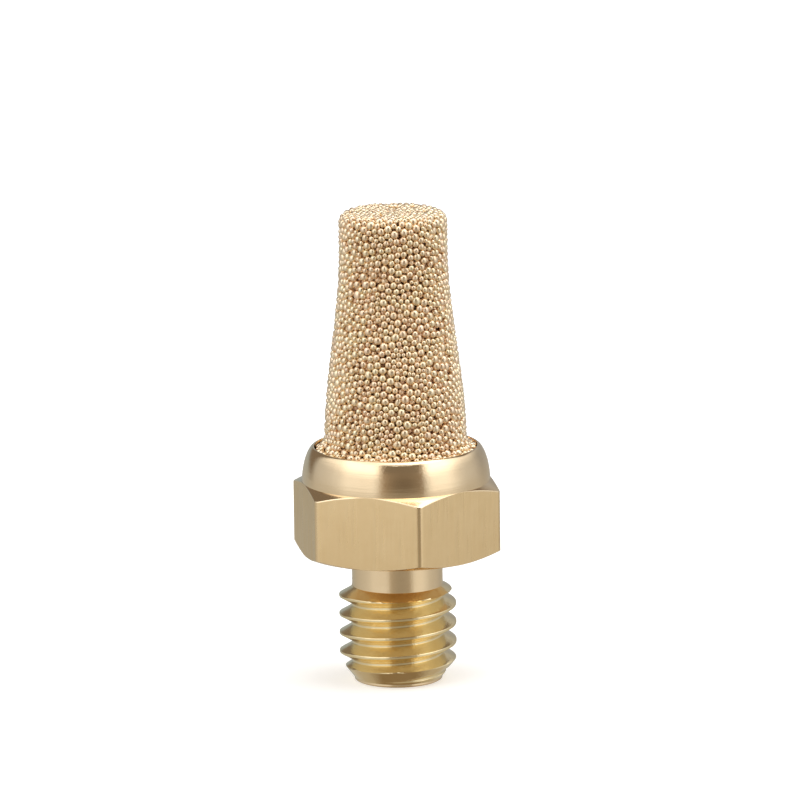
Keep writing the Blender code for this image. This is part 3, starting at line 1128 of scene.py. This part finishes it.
def add_camera(middle):
    """The camera, aimed a little off the muffler's middle and rolled slightly."""
    right, up, back = camera_axes(Vector((
        math.sin(CAMERA_AZIMUTH) * math.cos(CAMERA_ELEVATION),
        -math.cos(CAMERA_AZIMUTH) * math.cos(CAMERA_ELEVATION),
        math.sin(CAMERA_ELEVATION),
    )))
    place = middle + back * CAMERA_DISTANCE
    aim = middle + right * CAMERA_AIM_RIGHT + up * CAMERA_AIM_UP
    right, up, back = camera_axes((place - aim).normalized())
    rolled_right = right * math.cos(CAMERA_ROLL) - up * math.sin(CAMERA_ROLL)
    rolled_up = up * math.cos(CAMERA_ROLL) + right * math.sin(CAMERA_ROLL)
    data = bpy.data.cameras.new("camera")
    data.lens = CAMERA_LENS
    data.sensor_width = CAMERA_SENSOR
    data.clip_start = CAMERA_CLIP_START
    data.clip_end = CAMERA_CLIP_END
    camera = bpy.data.objects.new("camera", data)
    turn = Matrix((rolled_right, rolled_up, back)).transposed().to_4x4()
    camera.matrix_world = Matrix.Translation(place) @ turn
    bpy.context.scene.collection.objects.link(camera)
    bpy.context.scene.camera = camera


def aligned(tree, vector, direction):
    """How far a direction points along another one."""
    made = node(tree, "ShaderNodeVectorMath", operation="DOT_PRODUCT")
    tree.links.new(vector, made.inputs[0])
    made.inputs[1].default_value = direction
    return made.outputs["Value"]


def scaled(tree, colour, factor):
    """A colour made brighter or darker by a factor."""
    made = node(tree, "ShaderNodeVectorMath", operation="SCALE")
    tree.links.new(colour, made.inputs[0])
    feed(tree, factor, made.inputs["Scale"])
    return made.outputs["Vector"]


def ring_colour(tree, turn):
    """The light of STUDIO_RING at a turn, which is its degrees in radians."""
    share = maths(tree, "ADD", maths(tree, "DIVIDE", turn, 2 * math.pi), 0.5)
    ramp = node(tree, "ShaderNodeValToRGB")
    stops = ramp.color_ramp.elements
    while len(stops) < len(STUDIO_RING):
        stops.new(0.5)
    for stop, (degrees, level, tint) in zip(stops, STUDIO_RING):
        stop.position = (degrees + 180) / 360
        stop.color = (*(level * part / RING_SCALE for part in tint), 1)
    tree.links.new(share, ramp.inputs["Fac"])
    return scaled(tree, ramp.outputs["Color"], RING_SCALE)


def with_lower_lights(tree, colour, elevation):
    """The glow below the horizon, the floor's light and the shade right under the object."""
    for start, end, share, light in LOWER_LIGHTS:
        cover = ranged(tree, elevation, start, end, 0, share)
        colour = mixed_colour(tree, cover, colour, light)
    return colour


def with_backdrop(tree, colour, azimuth, elevation, sideways):
    """A dim backdrop behind the object, higher on the right."""
    behind = maths(tree, "SUBTRACT", math.pi, maths(tree, "ABSOLUTE", azimuth))
    edge = BACKDROP_HALF_WIDTH - BACKDROP_EDGE
    across = ranged(tree, behind, BACKDROP_HALF_WIDTH, edge, 0, 1)
    leant = maths(tree, "SUBTRACT", elevation, maths(tree, "MULTIPLY", sideways, BACKDROP_LEAN))
    raised = ranged(tree, leant, BACKDROP_LOW, BACKDROP_HIGH, 0, 1)
    cover = maths(tree, "MULTIPLY", across, raised)
    return mixed_colour(tree, cover, colour, BACKDROP_COLOUR)


def with_overhead(tree, colour, turn, elevation):
    """A bright panel overhead, brighter on its right."""
    rightwards = ranged(tree, turn, -OVERHEAD_TURN, OVERHEAD_TURN, 0, 1)
    panel = mixed_colour(tree, rightwards, OVERHEAD_LEFT, OVERHEAD_RIGHT)
    cover = ranged(tree, elevation, OVERHEAD_FROM, OVERHEAD_TO, 0, 1)
    return mixed_colour(tree, cover, colour, panel)


def with_hood(tree, colour, turn, elevation):
    """The upper part of the dark panel on the camera's side."""
    aside = maths(tree, "ABSOLUTE", maths(tree, "SUBTRACT", turn, HOOD_MIDDLE))
    across = ranged(tree, aside, HOOD_HALF_WIDTH, HOOD_HALF_WIDTH - HOOD_EDGE, 0, 1)
    above = ranged(tree, elevation, PANEL_TOP_FROM, PANEL_TOP_TO, 0, 1)
    below = ranged(tree, elevation, HOOD_TOP, HOOD_TOP - HOOD_TOP_EDGE, 0, 1)
    cover = maths(tree, "MULTIPLY", maths(tree, "MULTIPLY", above, below), across)
    return mixed_colour(tree, cover, colour, HOOD_COLOUR)


def studio_light(tree):
    """The studio's light from each direction."""
    towards = node(tree, "ShaderNodeTexCoord").outputs["Generated"]
    right = (math.cos(CAMERA_AZIMUTH), math.sin(CAMERA_AZIMUTH), 0)
    front = (math.sin(CAMERA_AZIMUTH), -math.cos(CAMERA_AZIMUTH), 0)
    sideways = aligned(tree, towards, right)
    forwards = aligned(tree, towards, front)
    azimuth = maths(tree, "ARCTAN2", sideways, forwards)
    half_way = maths(tree, "ADD", forwards, math.cos(CAMERA_ELEVATION))
    turn = maths(tree, "MULTIPLY", maths(tree, "ARCTAN2", sideways, half_way), 2)
    elevation = maths(tree, "ARCSINE", aligned(tree, towards, (0, 0, 1)))

    gain = ranged(tree, elevation, PANEL_TOP_FROM, PANEL_TOP_TO, 1, 1 + PANEL_TOP_GAIN)
    colour = scaled(tree, ring_colour(tree, turn), gain)
    colour = with_lower_lights(tree, colour, elevation)
    colour = with_backdrop(tree, colour, azimuth, elevation, sideways)
    colour = with_overhead(tree, colour, turn, elevation)
    return with_hood(tree, colour, turn, elevation)


def add_world():
    """The studio as the world's light. The camera itself sees plain white."""
    world = bpy.data.worlds.new("studio")
    bpy.context.scene.world = world
    world.use_nodes = True
    tree = world.node_tree
    tree.nodes.clear()
    seen = node(tree, "ShaderNodeLightPath").outputs["Is Camera Ray"]
    colour = mixed_colour(tree, seen, studio_light(tree), WHITE_PANEL)
    background = node(tree, "ShaderNodeBackground")
    tree.links.new(colour, background.inputs["Color"])
    output = node(tree, "ShaderNodeOutputWorld")
    tree.links.new(background.outputs["Background"], output.inputs["Surface"])


def add_floor():
    """A large pale floor under the muffler, which casts no shadow and isn't reflected."""
    half = FLOOR_SIZE / 2
    corners = [(-half, -half, 0), (half, -half, 0), (half, half, 0), (-half, half, 0)]
    floor = mesh_object("floor", corners, [(0, 1, 2, 3)])
    floor.data.materials.append(pale_floor("pale_floor"))
    floor.visible_glossy = False
    floor.visible_shadow = False


# ---------------------------------------------------------------- assembly

def finish_piece(piece, material, cad_node):
    """Gives a piece its material, hangs it under the root body and hides the CAD node that it stands
    for.
    """
    piece.data.materials.append(material)
    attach(piece, "root")
    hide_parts(cad_node)


def main():
    """Builds the muffler and its studio."""
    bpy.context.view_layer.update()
    body_low, body_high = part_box("threaded_body")
    _, element_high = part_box("sintered_element")
    apothem = (body_high.y - body_low.y) / 2
    top = element_high.z

    add_camera(Vector((0, 0, top / 2)))
    add_world()
    add_floor()
    bpy.context.scene.view_settings.view_transform = "Standard"

    body = turned_body(apothem)
    finish_piece(body, body_brass("turned_brass"), "threaded_body")
    thread = rolled_thread()
    finish_piece(thread, thread_brass("thread_brass"), "threaded_body")

    beads = bronze_beads("sintered_bronze")
    for piece in sintered_beads(top):
        finish_piece(piece, beads, "sintered_element")
    core = element_core(top)
    finish_piece(core, painted_shade_core("bronze_core_painted_shade"), "sintered_element")


main()
